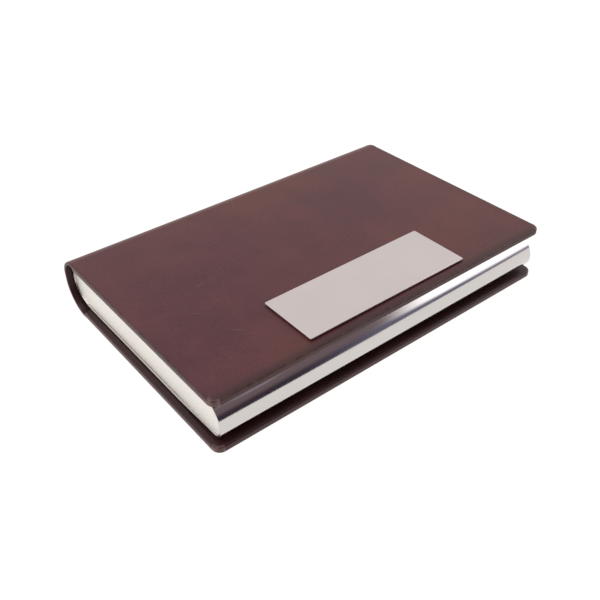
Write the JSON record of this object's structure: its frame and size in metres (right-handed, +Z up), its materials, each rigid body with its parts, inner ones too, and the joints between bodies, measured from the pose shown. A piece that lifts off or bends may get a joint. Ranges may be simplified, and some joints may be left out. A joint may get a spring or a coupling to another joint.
{
  "type": "business card case",
  "caption": "Flat book-style card case: leather-covered boards hinged by their spine around a rolled steel tray, closed by magnets, with a plain steel nameplate on top.",
  "frame": {"origin": "under the middle of the closed case, on the surface it lies on", "axes": "+X along the long side, +Y towards the spine, +Z up; the opening edge is at -Y"},
  "size_m": [0.095, 0.0636, 0.0146],
  "materials": {
    "brown_leather": "smooth imitation leather with a low sheen",
    "brown_lining": "matt microfibre",
    "grey_board": "raw greyboard",
    "tape": "double-sided tape",
    "polished_steel": "polished stainless steel",
    "satin_steel": "satin stainless steel",
    "nickel_plate": "nickel plate"
  },
  "bodies": {
    "base": {"bottom_leather": "brown_leather", "bottom_board": "grey_board", "bottom_lining": "brown_lining", "tray_tape": "tape", "tray_shell": "polished_steel", "left_end_panel": "satin_steel", "right_end_panel": "satin_steel"},
    "spine_lower": {"spine_leather_lower": "brown_leather", "spine_lining_lower": "brown_lining"},
    "spine_middle": {"spine_leather_middle": "brown_leather", "spine_lining_middle": "brown_lining"},
    "spine_upper": {"spine_leather_upper": "brown_leather", "spine_lining_upper": "brown_lining"},
    "lid": {"top_leather": "brown_leather", "top_board": "grey_board", "top_lining": "brown_lining", "left_magnet": "nickel_plate", "right_magnet": "nickel_plate", "nameplate": "satin_steel", "nameplate_tape": "tape"}
  },
  "joints": [
    {"name": "first_fold", "type": "hinge", "parent": "base", "child": "spine_lower", "pos_m": [0, 0.02743, 0.00053], "axis": [-1, 0, 0], "range_deg": [0, 44.5]},
    {"name": "second_fold", "type": "hinge", "parent": "spine_lower", "child": "spine_middle", "pos_m": [0, 0.03122, 0.00432], "axis": [-1, 0, 0], "range_deg": [0, 44.5]},
    {"name": "third_fold", "type": "hinge", "parent": "spine_middle", "child": "spine_upper", "pos_m": [0, 0.03135, 0.01079], "axis": [-1, 0, 0], "range_deg": [0, 44.5]},
    {"name": "fourth_fold", "type": "hinge", "parent": "spine_upper", "child": "lid", "pos_m": [0, 0.02854, 0.0136], "axis": [-1, 0, 0], "range_deg": [0, 44.5]}
  ],
  "couplings": [
    {"joint": "second_fold", "follows": "first_fold", "ratio": 1},
    {"joint": "third_fold", "follows": "first_fold", "ratio": 1},
    {"joint": "fourth_fold", "follows": "first_fold", "ratio": 1}
  ]
}
